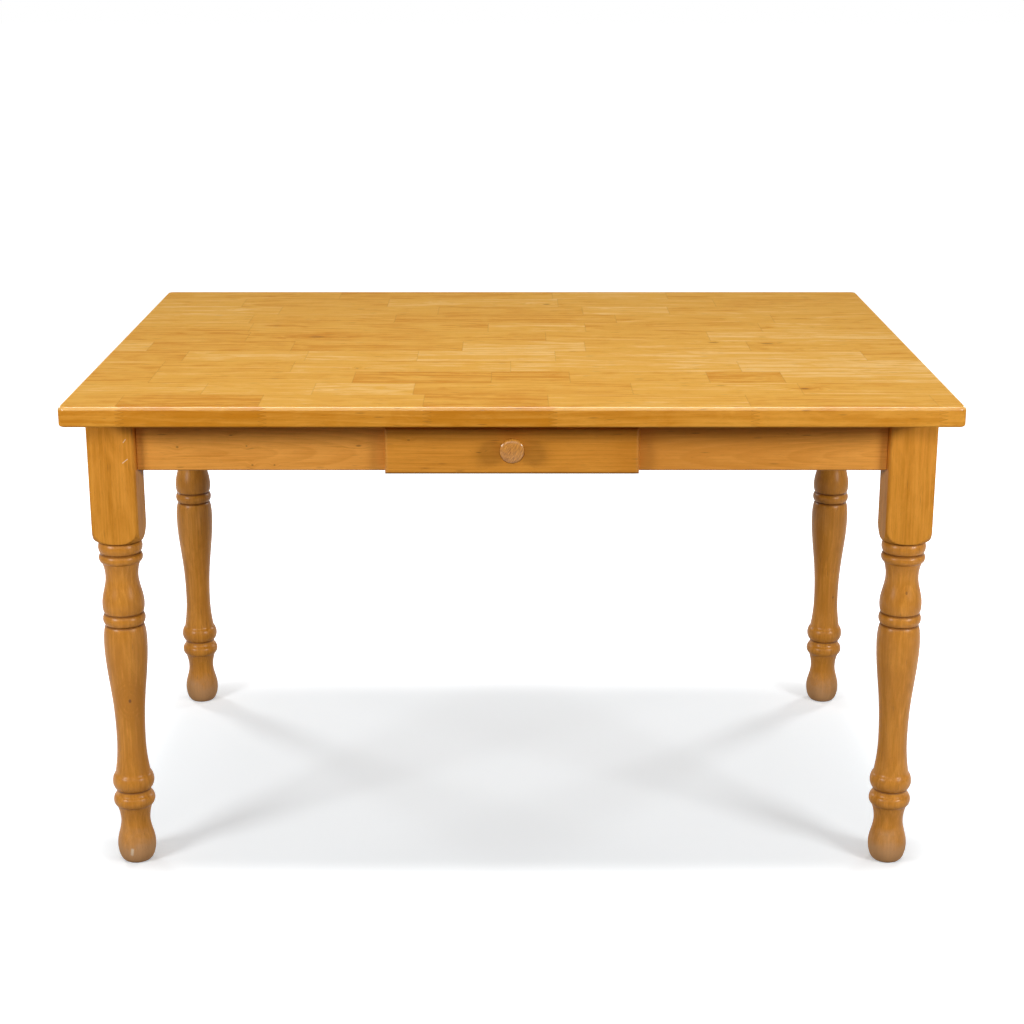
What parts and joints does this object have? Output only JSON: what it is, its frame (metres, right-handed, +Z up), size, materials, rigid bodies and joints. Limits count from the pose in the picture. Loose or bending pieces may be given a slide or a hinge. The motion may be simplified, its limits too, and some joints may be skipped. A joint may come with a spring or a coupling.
{
  "type": "farmhouse table",
  "caption": "Farmhouse kitchen table with a glued stave top, turned legs with square heads, plain aprons and a shallow cutlery drawer that slides out by a wooden knob.",
  "frame": {"origin": "on the floor, under the middle of the top", "axes": "+Z up, +X along the length of the top to the right of someone facing the drawer, -Y out of the drawer's front"},
  "size_m": [1.243, 0.92, 0.735],
  "materials": {
    "top_wood": "satin honey lacquer over finger-jointed staves",
    "leg_wood": "satin honey lacquer on turned wood",
    "apron_wood": "satin honey lacquer, grain along the board",
    "drawer_front_wood": "satin honey lacquer, rounded edges",
    "knob_wood": "satin lacquer on paler turned wood",
    "frame_wood": "bare planed softwood",
    "drawer_box_wood": "bare planed softwood",
    "drawer_bottom_wood": "thin plywood",
    "steel": "bright zinc plate"
  },
  "bodies": {
    "table": {"table_top": "top_wood", "leg_front_left": "leg_wood", "leg_front_right": "leg_wood", "leg_back_left": "leg_wood", "leg_back_right": "leg_wood", "apron_front_left": "apron_wood", "apron_front_right": "apron_wood", "apron_back": "apron_wood", "apron_left": "apron_wood", "apron_right": "apron_wood", "drawer_rail_upper": "apron_wood", "drawer_rail_lower": "apron_wood", "corner_brace_front_left": "frame_wood", "corner_brace_front_right": "frame_wood", "corner_brace_back_left": "frame_wood", "corner_brace_back_right": "frame_wood", "hanger_bolt_front_left": "steel", "hanger_bolt_front_right": "steel", "hanger_bolt_back_left": "steel", "hanger_bolt_back_right": "steel", "washer_front_left": "steel", "washer_front_right": "steel", "washer_back_left": "steel", "washer_back_right": "steel", "wing_nut_front_left": "steel", "wing_nut_front_right": "steel", "wing_nut_back_left": "steel", "wing_nut_back_right": "steel", "top_button_front_left": "frame_wood", "top_button_front_right": "frame_wood", "top_button_back_left": "frame_wood", "top_button_back_right": "frame_wood", "top_button_left": "frame_wood", "top_button_right": "frame_wood", "drawer_runner_left": "frame_wood", "drawer_runner_right": "frame_wood", "drawer_kicker_left": "frame_wood", "drawer_kicker_right": "frame_wood"},
    "drawer": {"drawer_front": "drawer_front_wood", "drawer_side_left": "drawer_box_wood", "drawer_side_right": "drawer_box_wood", "drawer_back": "drawer_box_wood", "drawer_bottom": "drawer_bottom_wood", "drawer_knob": "knob_wood", "knob_screw": "steel"}
  },
  "joints": [
    {"name": "drawer_slide", "type": "slide", "parent": "table", "child": "drawer", "axis": [0, -1, 0], "range_m": [0, 0.28]}
  ]
}
